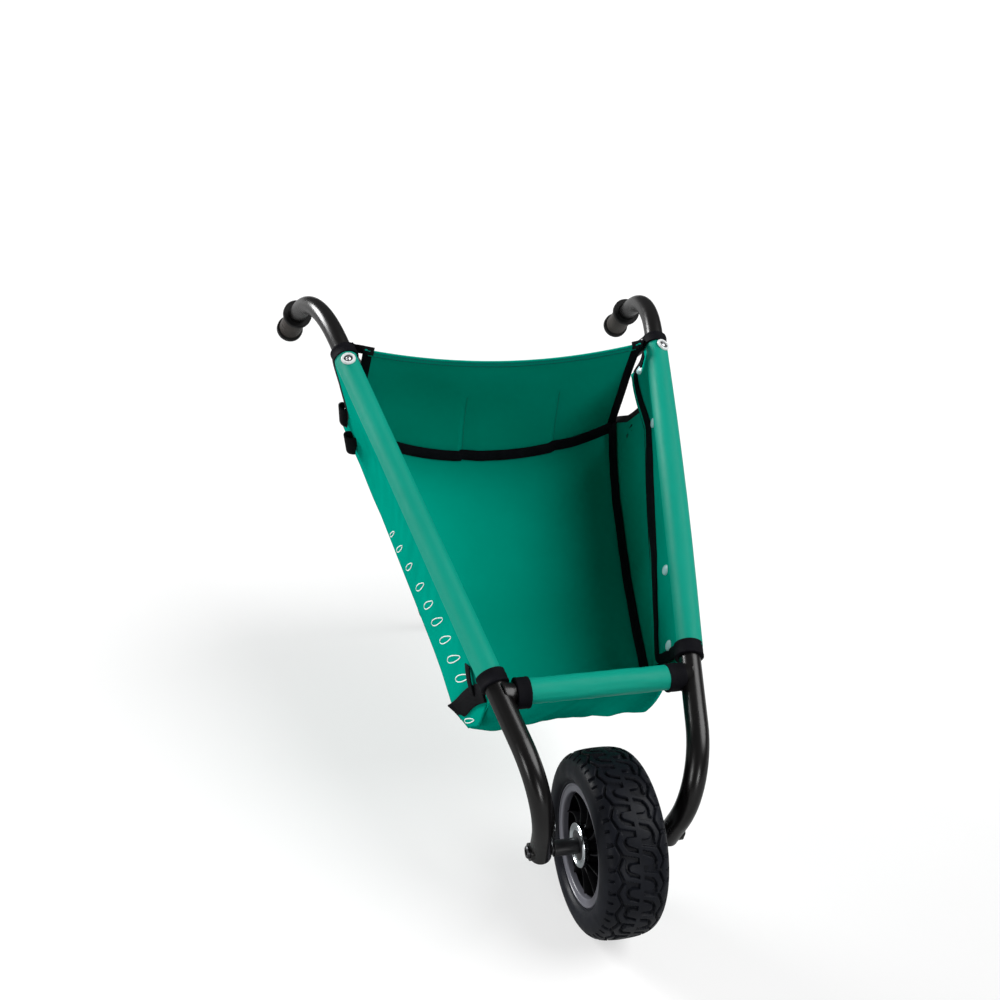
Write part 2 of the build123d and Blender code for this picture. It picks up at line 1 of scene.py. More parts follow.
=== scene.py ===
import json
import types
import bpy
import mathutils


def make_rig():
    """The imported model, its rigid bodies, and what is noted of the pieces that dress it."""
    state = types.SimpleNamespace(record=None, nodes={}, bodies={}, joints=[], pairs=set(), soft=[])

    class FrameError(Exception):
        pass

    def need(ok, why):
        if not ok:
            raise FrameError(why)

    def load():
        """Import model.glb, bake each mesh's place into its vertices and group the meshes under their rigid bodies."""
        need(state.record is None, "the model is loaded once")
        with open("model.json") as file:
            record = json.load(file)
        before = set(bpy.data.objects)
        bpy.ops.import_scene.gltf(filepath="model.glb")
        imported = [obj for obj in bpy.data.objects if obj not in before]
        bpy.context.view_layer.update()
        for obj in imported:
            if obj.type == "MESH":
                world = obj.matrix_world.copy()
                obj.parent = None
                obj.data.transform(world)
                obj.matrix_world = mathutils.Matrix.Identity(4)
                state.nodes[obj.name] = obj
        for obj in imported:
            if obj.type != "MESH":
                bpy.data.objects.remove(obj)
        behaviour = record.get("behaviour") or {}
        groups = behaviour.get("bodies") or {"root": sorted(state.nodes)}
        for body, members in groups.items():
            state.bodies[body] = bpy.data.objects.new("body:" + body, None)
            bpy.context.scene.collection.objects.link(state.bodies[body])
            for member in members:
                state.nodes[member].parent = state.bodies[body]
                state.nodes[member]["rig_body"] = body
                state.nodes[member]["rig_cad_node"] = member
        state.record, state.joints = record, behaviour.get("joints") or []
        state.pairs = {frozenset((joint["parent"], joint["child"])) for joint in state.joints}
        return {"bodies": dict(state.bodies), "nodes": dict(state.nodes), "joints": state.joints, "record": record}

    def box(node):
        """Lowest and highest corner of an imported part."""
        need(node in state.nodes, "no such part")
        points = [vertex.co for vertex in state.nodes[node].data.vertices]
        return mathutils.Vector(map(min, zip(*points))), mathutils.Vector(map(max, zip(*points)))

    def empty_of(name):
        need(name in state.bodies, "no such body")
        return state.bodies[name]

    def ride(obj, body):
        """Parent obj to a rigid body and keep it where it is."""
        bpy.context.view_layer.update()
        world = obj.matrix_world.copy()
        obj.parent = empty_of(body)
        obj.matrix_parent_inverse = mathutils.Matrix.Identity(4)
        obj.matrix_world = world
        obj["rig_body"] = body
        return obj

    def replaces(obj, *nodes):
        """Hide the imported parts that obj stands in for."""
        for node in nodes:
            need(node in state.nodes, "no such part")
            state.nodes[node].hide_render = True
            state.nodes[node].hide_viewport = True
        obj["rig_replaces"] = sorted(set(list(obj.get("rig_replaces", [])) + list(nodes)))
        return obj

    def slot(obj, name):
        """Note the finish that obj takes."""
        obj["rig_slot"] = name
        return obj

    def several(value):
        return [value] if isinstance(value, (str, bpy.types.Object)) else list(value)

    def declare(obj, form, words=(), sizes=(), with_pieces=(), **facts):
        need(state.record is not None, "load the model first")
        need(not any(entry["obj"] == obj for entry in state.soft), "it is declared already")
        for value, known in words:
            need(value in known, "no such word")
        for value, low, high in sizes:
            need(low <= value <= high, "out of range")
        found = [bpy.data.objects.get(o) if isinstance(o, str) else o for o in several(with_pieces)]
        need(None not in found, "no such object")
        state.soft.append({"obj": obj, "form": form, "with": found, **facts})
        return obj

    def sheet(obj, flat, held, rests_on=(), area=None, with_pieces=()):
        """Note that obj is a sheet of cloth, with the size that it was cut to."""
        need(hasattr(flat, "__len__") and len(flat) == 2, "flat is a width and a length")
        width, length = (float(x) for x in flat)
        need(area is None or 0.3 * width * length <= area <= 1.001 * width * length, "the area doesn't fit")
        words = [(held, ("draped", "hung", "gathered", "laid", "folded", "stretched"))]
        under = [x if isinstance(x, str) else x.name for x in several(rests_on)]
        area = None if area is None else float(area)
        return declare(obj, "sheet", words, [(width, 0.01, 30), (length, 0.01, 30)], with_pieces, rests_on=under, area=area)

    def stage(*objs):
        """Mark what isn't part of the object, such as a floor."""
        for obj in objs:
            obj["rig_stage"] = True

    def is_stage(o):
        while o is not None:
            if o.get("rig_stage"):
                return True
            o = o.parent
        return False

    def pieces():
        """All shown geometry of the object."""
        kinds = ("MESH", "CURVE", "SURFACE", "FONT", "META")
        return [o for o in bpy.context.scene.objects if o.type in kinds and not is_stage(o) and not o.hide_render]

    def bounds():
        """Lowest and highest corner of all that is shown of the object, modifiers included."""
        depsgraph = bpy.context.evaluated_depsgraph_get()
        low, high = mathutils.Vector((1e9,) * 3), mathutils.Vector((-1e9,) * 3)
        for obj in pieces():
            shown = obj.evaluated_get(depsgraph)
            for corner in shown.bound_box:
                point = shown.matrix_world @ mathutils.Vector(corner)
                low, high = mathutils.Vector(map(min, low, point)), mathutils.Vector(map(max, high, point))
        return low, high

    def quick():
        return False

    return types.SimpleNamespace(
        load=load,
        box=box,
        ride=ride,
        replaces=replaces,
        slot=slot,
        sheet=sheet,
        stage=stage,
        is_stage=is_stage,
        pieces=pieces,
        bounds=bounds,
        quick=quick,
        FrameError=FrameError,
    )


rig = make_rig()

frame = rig.load()

import json
import math

import bpy
import numpy as np
from mathutils import Matrix, Vector, noise

cad_box = [list(corner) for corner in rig.bounds()]
MM = 0.001
SIDES = {"left": -1, "right": 1}


# ---- camera ----

CAMERA_PLACE = (-0.4456, -1.2246, 1.0157)
HEADING, PITCH, ROLL = math.radians(-18.02), math.radians(-27.59), math.radians(5.57)
camera_data = bpy.data.cameras.new("camera")
camera_data.sensor_width = 36.0
camera_data.lens = 42.56
camera = bpy.data.objects.new("camera", camera_data)
bpy.context.scene.collection.objects.link(camera)
camera.matrix_world = (Matrix.Translation(CAMERA_PLACE) @ Matrix.Rotation(HEADING, 4, "Z")
                       @ Matrix.Rotation(math.pi / 2 + PITCH, 4, "X") @ Matrix.Rotation(ROLL, 4, "Z"))
bpy.context.scene.camera = camera
bpy.context.scene.view_settings.view_transform = "Standard"


# ---- materials ----

class Finish:
    """A node material built round the Principled shader. gloss is its specular level."""

    def __init__(self, name, colour, rough, metal=0.0, gloss=0.5):
        self.material = bpy.data.materials.new(name)
        self.material.use_nodes = True
        self.tree = self.material.node_tree
        self.shader = self.tree.nodes["Principled BSDF"]
        self.colour, self.rough, self.normal = colour, rough, None
        for socket, value in (("Base Color", (*colour, 1)), ("Roughness", rough), ("Metallic", metal),
                              ("Specular IOR Level", gloss)):
            self.shader.inputs[socket].default_value = value

    def node(self, kind, **settings):
        """A new node. A setting is one of its attributes or, failing that, one of its inputs."""
        made = self.tree.nodes.new(kind)
        for key, value in settings.items():
            if hasattr(made, key):
                setattr(made, key, value)
            else:
                made.inputs[key.replace("_", " ")].default_value = value
        return made

    def link(self, out, into):
        self.tree.links.new(out, into)

    def place(self, source):
        return self.node("ShaderNodeTexCoord").outputs[source]

    def noise(self, scale, detail=3.0):
        made = self.node("ShaderNodeTexNoise", Scale=scale, Detail=detail, Roughness=0.55)
        self.link(self.place("Object"), made.inputs["Vector"])
        return made.outputs["Fac"]

    def spread(self, value, low, high, out_low, out_high):
        made = self.node("ShaderNodeMapRange", From_Min=low, From_Max=high, To_Min=out_low, To_Max=out_high)
        self.link(value, made.inputs["Value"])
        return made.outputs["Result"]

    def vary_rough(self, scale, amount):
        varied = self.spread(self.noise(scale), 0.3, 0.7, self.rough - amount, self.rough + amount)
        self.link(varied, self.shader.inputs["Roughness"])

    def vary_colour(self, scale, other, low=0.35, high=0.65, detail=3.0):
        mix = self.node("ShaderNodeMix", data_type="RGBA")
        mix.inputs[6].default_value = (*self.colour, 1)
        mix.inputs[7].default_value = (*other, 1)
        self.link(self.spread(self.noise(scale, detail), low, high, 0, 1), mix.inputs[0])
        self.link(mix.outputs[2], self.shader.inputs["Base Color"])

    def add_bump(self, height, distance, strength):
        bump = self.node("ShaderNodeBump", Strength=strength, Distance=distance)
        self.link(height, bump.inputs["Height"])
        if self.normal is not None:
            self.link(self.normal, bump.inputs["Normal"])
        self.normal = bump.outputs["Normal"]
        self.link(self.normal, self.shader.inputs["Normal"])

    def weave(self, pitch, distance, strength, across=1.0):
        """Warp and weft threads: two crossed wave patterns, the higher one showing."""
        top = self.node("ShaderNodeMath", operation="MULTIPLY")
        for k, (direction, share) in enumerate((("X", 1.0), ("Y", across))):
            wave = self.node("ShaderNodeTexWave", wave_type="BANDS", bands_direction=direction,
                             Scale=math.pi / 10 / pitch * share, Distortion=0.4, Detail=1.0)
            self.link(self.place("UV"), wave.inputs["Vector"])
            self.link(wave.outputs["Fac"], top.inputs[k])
        self.add_bump(top.outputs["Value"], distance, strength)


def scaled(colour, times):
    return tuple(times * c for c in colour)


def cloth_finish(name, colour, shade, rough, gloss):
    made = Finish(name, colour, rough, gloss=gloss)
    made.vary_colour(9.0, shade, 0.3, 0.75, 4.0)
    made.vary_rough(30.0, 0.06)
    made.add_bump(made.noise(22.0, 4.0), 0.0016, 0.5)
    made.weave(0.0009, 0.00012, 0.5)
    return made.material


def tape_finish(name, colour, pitch):
    made = Finish(name, colour, 0.72, gloss=0.07)
    made.vary_colour(60.0, scaled(colour, 1.6))
    made.weave(pitch, 0.0003, 0.8, across=2.0)
    made.add_bump(made.noise(180.0), 0.0004, 0.4)
    return made.material


def frame_paint():
    made = Finish("frame_paint", (0.0024, 0.0022, 0.0024), 0.27, gloss=0.38)
    made.vary_colour(14.0, (0.0040, 0.0036, 0.0036))
    made.vary_rough(9.0, 0.05)
    made.add_bump(made.noise(900.0, 2.0), 0.00006, 0.25)
    return made.material


def rubber_finish(name, colour, rough, grain=0.00015):
    made = Finish(name, colour, rough, gloss=0.12)
    made.vary_colour(35.0, scaled(colour, 1.5))
    made.vary_rough(60.0, 0.07)
    made.add_bump(made.noise(700.0), grain, 0.5)
    return made.material


def plated_finish(name, colour, rough):
    made = Finish(name, colour, rough, metal=1.0)
    made.vary_rough(120.0, 0.05)
    made.vary_colour(80.0, scaled(colour, 0.82))
    made.add_bump(made.noise(500.0, 2.0), 0.00004, 0.3)
    return made.material


def plastic_finish(name, colour, rough, gloss=0.5):
    made = Finish(name, colour, rough, gloss=gloss)
    made.vary_rough(70.0, 0.04)
    made.vary_colour(50.0, scaled(colour, 0.9))
    made.add_bump(made.noise(1100.0, 2.0), 0.00005, 0.3)
    return made.material


paint = frame_paint()
green = cloth_finish("green_cloth", (0.0, 0.300, 0.216), (0.0, 0.276, 0.196), 0.7, 0.0)
green_taut = cloth_finish("green_cloth_taut", (0.0, 0.300, 0.214), (0.0, 0.278, 0.196), 0.52, 0.16)
black_tape = tape_finish("black_tape", (0.0028, 0.0028, 0.0042), 0.0011)
grey_tape = tape_finish("grey_tape", (0.013, 0.012, 0.013), 0.0011)
webbing = tape_finish("black_webbing", (0.0036, 0.0036, 0.0046), 0.0016)
tread_rubber = rubber_finish("tyre_rubber", (0.0046, 0.0054, 0.0080), 0.44)
grip_rubber = rubber_finish("grip_rubber", (0.006, 0.0058, 0.006), 0.48)
# Painted reflection: the grip body's brownish grey stands for the bronze reflection on a glossy black grip.
grip_sleeve = rubber_finish("grip_sleeve", (0.040, 0.035, 0.032), 0.34, 0.0001)
foot_rubber = rubber_finish("foot_rubber", (0.010, 0.010, 0.0105), 0.6)
rim_black = plastic_finish("rim_black_plastic", (0.003, 0.003, 0.004), 0.34, 0.18)
rim_grey = plastic_finish("rim_grey_plastic", (0.105, 0.105, 0.125), 0.36)
spacer_black = plastic_finish("spacer_black_plastic", (0.010, 0.010, 0.012), 0.42)
zinc = plated_finish("zinc_plate", (0.62, 0.66, 0.69), 0.16)
chrome = plated_finish("chrome_plate", (0.72, 0.74, 0.76), 0.3)
dark_steel = plated_finish("dark_steel", (0.060, 0.060, 0.064), 0.33)
bearing_steel = plated_finish("bearing_steel", (0.5, 0.5, 0.52), 0.25)
stud_plastic = plastic_finish("stud_plastic", (0.46, 0.72, 0.74), 0.22)
ring_plastic = plastic_finish("ring_plastic", (0.78, 0.82, 0.82), 0.25)
print_white = plastic_finish("print_white", (0.90, 0.95, 0.93), 0.5)
thread_dark = plastic_finish("thread_dark", (0.0, 0.045, 0.075), 0.6)
# Dart thread: real stitching, made darker than the cloth to paint the shade along each dart's crease.
thread_green = plastic_finish("thread_green", (0.0, 0.20, 0.145), 0.6)


# ---- mesh helpers ----

def piece(name, points, faces, finish, slot, body="root", nodes=(), thickness=0.0, uv=None):
    """A mesh piece that rides on a body and stands for some CAD nodes."""
    mesh = bpy.data.meshes.new(name)
    mesh.from_pydata([tuple(p) for p in points], [], [tuple(f) for f in faces])
    mesh.materials.append(finish)
    if uv is not None:
        layer = mesh.uv_layers.new(name="UVMap")
        for loop in mesh.loops:
            layer.data[loop.index].uv = uv[loop.vertex_index]
    mesh.update()
    mesh.shade_smooth()
    obj = bpy.data.objects.new(name, mesh)
    bpy.context.scene.collection.objects.link(obj)
    if thickness:
        modifier = obj.modifiers.new("thickness", "SOLIDIFY")
        modifier.thickness = thickness
        modifier.offset = 0.0
    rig.ride(obj, body)
    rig.slot(obj, slot)
    if nodes:
        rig.replaces(obj, *nodes)
    return obj


def crisp(obj, angle=35.0):
    """Smooth shading that keeps edges sharper than an angle."""
    obj.data.set_sharp_from_angle(angle=math.radians(angle))
    return obj


def flipped(faces):
    return [tuple(reversed(face)) for face in faces]


def grid_faces(rows, columns, wrap_rows=False, wrap_columns=False):
    faces = []
    for i in range(rows if wrap_rows else rows - 1):
        for j in range(columns if wrap_columns else columns - 1):
            here, following, beside = i * columns, (i + 1) % rows * columns, (j + 1) % columns
            faces.append((here + j, here + beside, following + beside, following + j))
    return faces


def sheet_grid(name, shape, rows, columns, thickness, nodes=()):
    """A green cloth sheet from shape(u, v), with UVs in metres along its middle lines."""
    points = [shape(i / (rows - 1), j / (columns - 1)) for i in range(rows) for j in range(columns)]
    along = sum((points[(i + 1) * columns + columns // 2] - points[i * columns + columns // 2]).length
                for i in range(rows - 1))
    middle = rows // 2 * columns
    across = sum((points[middle + j + 1] - points[middle + j]).length for j in range(columns - 1))
    uv = [(i / (rows - 1) * along, j / (columns - 1) * across) for i in range(rows) for j in range(columns)]
    return piece(name, points, grid_faces(rows, columns), green, "cloth_green", uv=uv, thickness=thickness,
                 nodes=nodes)


def turned(name, profile, centre, axis, finish, slot, segments=72, ripple=None, **settings):
    """A solid of revolution: profile is (distance along the axis, radius) in mm, end to end."""
    axis = axis.normalized()
    first = axis.orthogonal().normalized()
    second = axis.cross(first)
    points, starts = [], []
    for along, radius in profile:
        starts.append(len(points))
        base = centre + axis * along * MM
        if radius < 0.01:
            points.append(base)
            continue
        for k in range(segments):
            angle = 2 * math.pi * k / segments
            grown = radius + (ripple(along, angle) if ripple else 0.0)
            points.append(base + (first * math.cos(angle) + second * math.sin(angle)) * grown * MM)
    faces = []
    for ring in range(len(profile) - 1):
        low, high = starts[ring], starts[ring + 1]
        low_is_pole, high_is_pole = profile[ring][1] < 0.01, profile[ring + 1][1] < 0.01
        for k in range(segments):
            beside = (k + 1) % segments
            if low_is_pole:
                faces.append((low, high + k, high + beside))
            elif high_is_pole:
                faces.append((low + k, low + beside, high))
            else:
                faces.append((low + k, low + beside, high + beside, high + k))
    return crisp(piece(name, points, flipped(faces), finish, slot, **settings))


def cut_corners(points, times=2):
    """Chaikin's corner cutting, with the two ends kept."""
    for _ in range(times):
        fresh = [points[0]]
        for a, b in zip(points, points[1:]):
            fresh += [a * 0.75 + b * 0.25, a * 0.25 + b * 0.75]
        fresh.append(points[-1])
        points = fresh
    return points


def even_points(points, count):
    """The same line with evenly spaced points."""
    lengths = [0.0]
    for a, b in zip(points, points[1:]):
        lengths.append(lengths[-1] + (b - a).length)
    result, k = [], 0
    for i in range(count):
        target = lengths[-1] * i / (count - 1)
        while k < len(points) - 2 and lengths[k + 1] < target:
            k += 1
        share = (target - lengths[k]) / max(lengths[k + 1] - lengths[k], 1e-9)
        result.append(points[k].lerp(points[k + 1], min(max(share, 0.0), 1.0)))
    return result


def ribbon(name, pairs, width, thick, finish, slot="binding_black", nodes=(), closed=False, cuts=0, count=0):
    """A flat tape with rounded edges along (point, normal) pairs, lying square to the normals. Sizes in mm.
    With a count, its corners are cut and its points spaced evenly first."""
    points, normals = zip(*pairs)
    if count:
        points = even_points(cut_corners(points, cuts), count)
        normals = even_points(cut_corners(normals, cuts), count)
    half, high = width / 2 * MM, thick / 2 * MM
    corner = min(high * 0.8, half * 0.5)
    face = [(half, 0.0), (half - corner * 0.3, high * 0.7), (half - corner, high), (0.0, high),
            (corner - half, high), (corner * 0.3 - half, high * 0.7)]
    section = face + [(-across, -rise) for across, rise in face]
    total, size = len(points), len(section)
    made, uv, run = [], [], 0.0
    for i, point in enumerate(points):
        before = points[i - 1] if i or closed else point
        after = points[(i + 1) % total] if i < total - 1 or closed else point
        tangent = (after - before).normalized()
        normal = (normals[i] - tangent * normals[i].dot(tangent)).normalized()
        side = tangent.cross(normal)
        if i:
            run += (point - points[i - 1]).length
        for across, rise in section:
            made.append(point + side * across + normal * rise)
            uv.append((run, across))
    faces = grid_faces(total, size, wrap_rows=closed, wrap_columns=True)
    if not closed:
        faces += [tuple(reversed(range(size))), tuple(range((total - 1) * size, total * size))]
    return piece(name, made, flipped(faces), finish, slot, nodes=nodes, uv=uv)


STITCH, STITCH_GAP, THREAD, THREAD_LIFT = 2.8, 1.1, 0.75, 0.25
THREAD_SIDES = 6


def stitches(name, pairs, finish):
    """A row of short threads along (point, normal) pairs on a surface."""
    points, normals = zip(*pairs)
    total = sum((b - a).length for a, b in zip(points, points[1:]))
    count = max(int(total / ((STITCH + STITCH_GAP) * MM)), 1)
    fine, fine_normals = even_points(points, count * 3 + 1), even_points(normals, count * 3 + 1)
    made, faces = [], []
    for k in range(count):
        a, b = fine[3 * k], fine[3 * k + 2]
        normal = fine_normals[3 * k + 1].normalized()
        run = (b - a).normalized()
        side = run.cross(normal).normalized()
        start = len(made)
        for end, share in ((-0.5, 0.55), (-0.3, 1.0), (0.3, 1.0), (0.5, 0.55)):
            base = (a + b) / 2 + run * end * STITCH * MM + normal * THREAD_LIFT * MM * (share * 2 - 1)
            for corner in range(THREAD_SIDES):
                angle = 2 * math.pi * corner / THREAD_SIDES
                outer = side * math.cos(angle) + normal * math.sin(angle)
                made.append(base + outer * THREAD / 2 * MM * share)
        rings = grid_faces(4, THREAD_SIDES, wrap_columns=True)
        rings = [(low, high, beyond, beside) for low, beside, beyond, high in rings]
        rings += [tuple(range(THREAD_SIDES)), tuple(reversed(range(3 * THREAD_SIDES, 4 * THREAD_SIDES)))]
        faces += [tuple(start + corner for corner in face) for face in rings]
    return piece(name, made, faces, finish, "cloth_green")


# ---- the trough's own coordinates ----
# Across, along and depth are in mm from the crossbar's middle: sideways, back along the tubes, and down from
# their plane. A side is -1 on the left and 1 on the right.

def middle_of(node):
    low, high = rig.box(node)
    return (Vector(low) + Vector(high)) / 2


X = Vector((1, 0, 0))
crossbar = middle_of("front_crossbar")
cuff_ahead, cuff_behind = middle_of("front_cuff_right"), middle_of("rear_cuff_right")
tube_run = (cuff_behind - cuff_ahead).normalized()
back = Vector((0, tube_run.y, tube_run.z)).normalized()
up = X.cross(back)
toe_out = tube_run.x / math.hypot(tube_run.y, tube_run.z)
cuff_back = (cuff_ahead - crossbar).dot(back) / MM


def trough(across, along, depth):
    """A point by mm across, back along the tubes, and down from the plane of the tubes."""
    return crossbar + X * across * MM + back * along * MM - up * depth * MM


def tube_half(along):
    return cuff_ahead.x / MM + toe_out * (along - cuff_back)


def between(table, at):
    """Straight-line value of a table of (place, value) pairs."""
    return float(np.interp(at, [row[0] for row in table], [row[1] for row in table]))


def side_run(side):
    return Vector((side * tube_run.x, tube_run.y, tube_run.z))


def on_tube(side, along):
    """A point on a side tube's middle line, by mm back from the crossbar."""
    return trough(side * tube_half(along), along, 0)


def waves(seed, *at):
    """Gentle noise from -1 to 1."""
    return noise.noise(Vector((at[0], at[1] if len(at) > 1 else 0.0, seed * 7.3)))


# Half width and depth of the floor's side seams, by place along.
FLOOR_HALF = ((8, 110), (60, 126), (140, 135.5), (220, 147), (350, 168.5), (430, 185), (488, 199))
FLOOR_DEPTH = ((8, 104), (24, 126), (60, 143), (220, 156), (400, 161), (488, 157))


def floor_corner(along):
    return between(FLOOR_HALF, along), between(FLOOR_DEPTH, along)


SLEEVE = 14.4           # radius of the cloth sleeve round a side tube
SLEEVE_SHIFT = 1.2      # how far outward of the tube it hangs
CINCH = 34.0            # depth where the cloth comes off the sleeve
CLOTH = 1.1 * MM        # thickness
RIGHT_FULLNESS = 1.8
FRONT_DROOP, REAR_LIFT = 14.0, 15.0
REAR_CINCH = ((300, CINCH), (450, 120))
BELLY = ((380, -0.5), (460, 5.0))
STRIP_GAP = ((60, 5.5), (110, 2.5), (200, 0.5), (390, 0.5), (450, 6.0), (510, 9.0))
STRIP_EDGE = ((30, 84), (74, 90), (191, 69), (324, 50), (391, 44), (440, 51), (475, 55), (520, 55))
STRIP_FLARE, FLARE_BAND = 6.5, 18.0


def clamped(value):
    return min(max(value, 0.0), 1.0)


def bow(side, along):
    """How much fuller the right sleeve is in its middle."""
    return RIGHT_FULLNESS * math.sin(math.pi * clamped(along / 520)) if side > 0 else 0.0


def droop(share, along):
    """How much lower the cloth hangs at the left front corner, and higher at the left rear one."""
    low = FRONT_DROOP * max(1 - along / 110, 0.0) - between(((380, 0), (488, REAR_LIFT)), along)
    return low * max(-share, 0.0) ** 1.3


def panel_across(side, along, depth, cinch=CINCH, belly_size=-0.5):
    """Half width of the side cloth on its way from the floor corner to the outer side of the sleeve."""
    half, low = floor_corner(along)
    top = tube_half(along)
    share = (depth - SLEEVE) / (low - SLEEVE)
    straight = top + share * (half - top)
    belly = belly_size * math.sin(math.pi * clamped((depth - CINCH) / (low - CINCH)))
    pull = clamped((cinch - depth) / cinch) ** 1.5
    outer = top + SLEEVE_SHIFT + SLEEVE + 2 * bow(side, along)
    return (straight + belly) * (1 - pull) + outer * pull


def side_point(side, along, q, wrinkle=1.0):
    """The side cloth. q is 0 at the floor corner, 1 at the sleeve's outer side, 2 at its inner side and 3 at
    the closing strip's edge."""
    if q <= 1.0:
        low = floor_corner(along)[1] + droop(side, along)
        depth = low * (1 - q)
        across = panel_across(side, along, depth, between(REAR_CINCH, along), between(BELLY, along))
        swell = 2.2 * waves(2 + side, along / 60, depth / 45) + 1.1 * waves(5 + side, along / 17, depth / 60)
        return trough(side * (across + swell * math.sin(math.pi * q) * wrinkle), along, depth)
    if q <= 2.0:
        angle = math.pi * (q - 1.0)
        ripple = 0.35 * waves(9 + side, along / 40, angle * 1.4) * math.sin(angle) * wrinkle
        radius = SLEEVE + bow(side, along) + ripple
        middle = tube_half(along) + SLEEVE_SHIFT + bow(side, along)
        return trough(side * (middle + radius * math.cos(angle)), along, -radius * math.sin(angle))
    edge = strip_edge(along)
    depth = edge * (q - 2.0)
    pull = clamped((CINCH - depth) / CINCH) ** 1.5
    flare = max(depth - edge + FLARE_BAND, 0.0) / FLARE_BAND
    gap = between(STRIP_GAP, along) + STRIP_FLARE * flare ** 1.5
    inner = tube_half(along) + SLEEVE_SHIFT - SLEEVE
    across = (panel_across(side, along, max(depth, CINCH)) - gap) * (1 - pull) + inner * pull
    swell = 0.8 * waves(11 + side, along / 25, depth / 30) * (q - 2.0) * wrinkle
    return trough(side * (across + swell), along, depth)


def strip_edge(along):
    """Depth of the closing strip's edge."""
    return between(STRIP_EDGE, along)


def side_normal(side, along, q):
    """The side cloth's normal, without its wrinkles."""
    a = side_point(side, along, q - 0.02, 0)
    b = side_point(side, along, q + 0.02, 0)
    return (b - a).cross(side_run(side)).normalized()


def outward(side, along, q):
    """The side cloth's normal that points out of the trough."""
    normal = side_normal(side, along, q)
    return normal if normal.x * side > 0 else -normal


def on_side(side, along, q):
    """A point on the side cloth and its normal."""
    return side_point(side, along, q), side_normal(side, along, q)


def off_panel(side, along, depth, lift):
    """A point some mm off the outer panel and its outward normal."""
    q = panel_q(along, depth)
    normal = outward(side, along, q)
    return side_point(side, along, q) + normal * lift * MM, normal


# Where the panel ends at the back and front, by depth.
SCOOP = ((0, 506), (16, 500), (40, 476), (60, 459), (74, 454), (99, 462), (119, 471), (146, 492), (160, 500),
         (200, 502))
PANEL_FRONT = {
    -1: ((0, 30), (16, 26), (40, 16), (84, 12), (106, 14), (122, 24), (160, 40)),
    1: ((0, 34), (40, 33), (84, 31), (106, 32), (122, 36), (160, 46)),
}
SLEEVE_FRONT = {-1: 18.0, 1: 32.0}
SLEEVE_REAR = {-1: 489.0, 1: 502.0}
STRIP_TRIM = 28.0       # how far the strip's front corner is cut back


def scoop(side, depth):
    """Where the side panel ends at the back, at a depth."""
    return between(SCOOP, depth) - (SCOOP[0][1] - SLEEVE_REAR[side]) * max(1 - depth / 45, 0.0)


def panel_q(along, depth):
    """q of a depth on the outer cloth."""
    return 1.0 - depth / floor_corner(along)[1]


# ---- side cloths: panel, sleeve and closing strip in one sheet ----

ROWS, PANEL_COLUMNS, SLEEVE_COLUMNS, STRIP_COLUMNS = 150, 34, 26, 16
q_values = [j / PANEL_COLUMNS for j in range(PANEL_COLUMNS)]
q_values += [1 + j / SLEEVE_COLUMNS for j in range(SLEEVE_COLUMNS)]
q_values += [2 + j / STRIP_COLUMNS for j in range(STRIP_COLUMNS + 1)]
side_cloths = {}
for name, side in SIDES.items():
    points, uv = [], []
    for i in range(ROWS):
        share = i / (ROWS - 1)
        run = 0.0
        for q in q_values:
            if q < 1.0:
                along = 250.0
                for _ in range(3):
                    depth = floor_corner(along)[1] * (1 - q)
                    front, rear = between(PANEL_FRONT[side], depth), scoop(side, depth)
                    along = front + share * (rear - front)
            else:
                trim = max(q - 2.0, 0.0)
                front, rear = SLEEVE_FRONT[side] + STRIP_TRIM * trim, SLEEVE_REAR[side] - 7 * trim
                along = front + share * (rear - front)
            point = side_point(side, along, q)
            if points and q > 0:
                run += (point - points[-1]).length
            points.append(point)
            uv.append((along * MM, run))
    faces = grid_faces(ROWS, len(q_values))
    side_cloths[name] = piece(
        f"side_cloth_{name}", points, flipped(faces) if side > 0 else faces, green, "cloth_green", uv=uv,
        thickness=CLOTH, nodes=(f"side_panel_{name}", f"sleeve_{name}", f"closing_strip_{name}"))
    mesh = side_cloths[name].data
    mesh.materials.append(green_taut)
    for polygon in mesh.polygons:
        column = min(polygon.vertices) % len(q_values)
        polygon.material_index = int(0.97 <= q_values[column] < 2.0)


# ---- floor, front and rear flap ----

FLOOR_START, FLOOR_END = 56, 490
FLOOR_SAG = ((60, 5), (200, 17), (488, 45))


def floor_point(share, along):
    """The floor cloth, hanging between its side seams. share from -1 to 1 across."""
    half, low = floor_corner(along)
    dip = between(FLOOR_SAG, along) * (1 - abs(share) ** 2.7)
    dip -= 1.2 * waves(21, share * 3, along / 70) * (1 - share ** 4)
    recede = 16 * (1 - share ** 2) * max((along - 400) / 88, 0.0)
    return trough(share * half, along - recede, low + dip + droop(share, along))


floor_sheet = sheet_grid(
    "floor_cloth", lambda u, v: floor_point(v * 2 - 1, FLOOR_START + u * (FLOOR_END - FLOOR_START)), 110, 50,
    CLOTH, ("floor_panel",))


def front_point(u, v):
    """The front cloth, from behind the crossbar down and round to the floor. v from 0 to 1 across."""
    share = v * 2 - 1
    along = between(((0, 9), (0.10, 11), (0.45, 10), (0.68, 14), (0.82, 26), (1.0, 58)), u)
    depth = between(((0, 8), (0.10, 26), (0.45, 78), (0.68, 112), (0.82, 131), (1.0, 143)), u)
    half = between(((0, 88), (0.08, 100), (0.2, 108), (0.68, 110), (0.82, 115), (1.0, 126.4)), u)
    corner = max(abs(share) - 0.82, 0.0) / 0.18
    depth -= (3 if share > 0 else 9) * corner ** 2 * math.sin(math.pi * min(u * 1.2, 1.0))
    fold = math.sin(math.pi * u)
    along -= fold * (4.5 * waves(31, share * 2.2 + u, u * 2) + 4.0 * waves(33, share * 5 + u * 5, u * 1.5))
    half += 5.0 * max(share, 0.0) * fold
    along += (22 if share > 0 else 8) * corner ** 1.6 * fold
    depth += droop(share, along) * between(((0, 0), (0.4, 0.5), (0.7, 1)), u)
    return trough(share * half, along, depth)


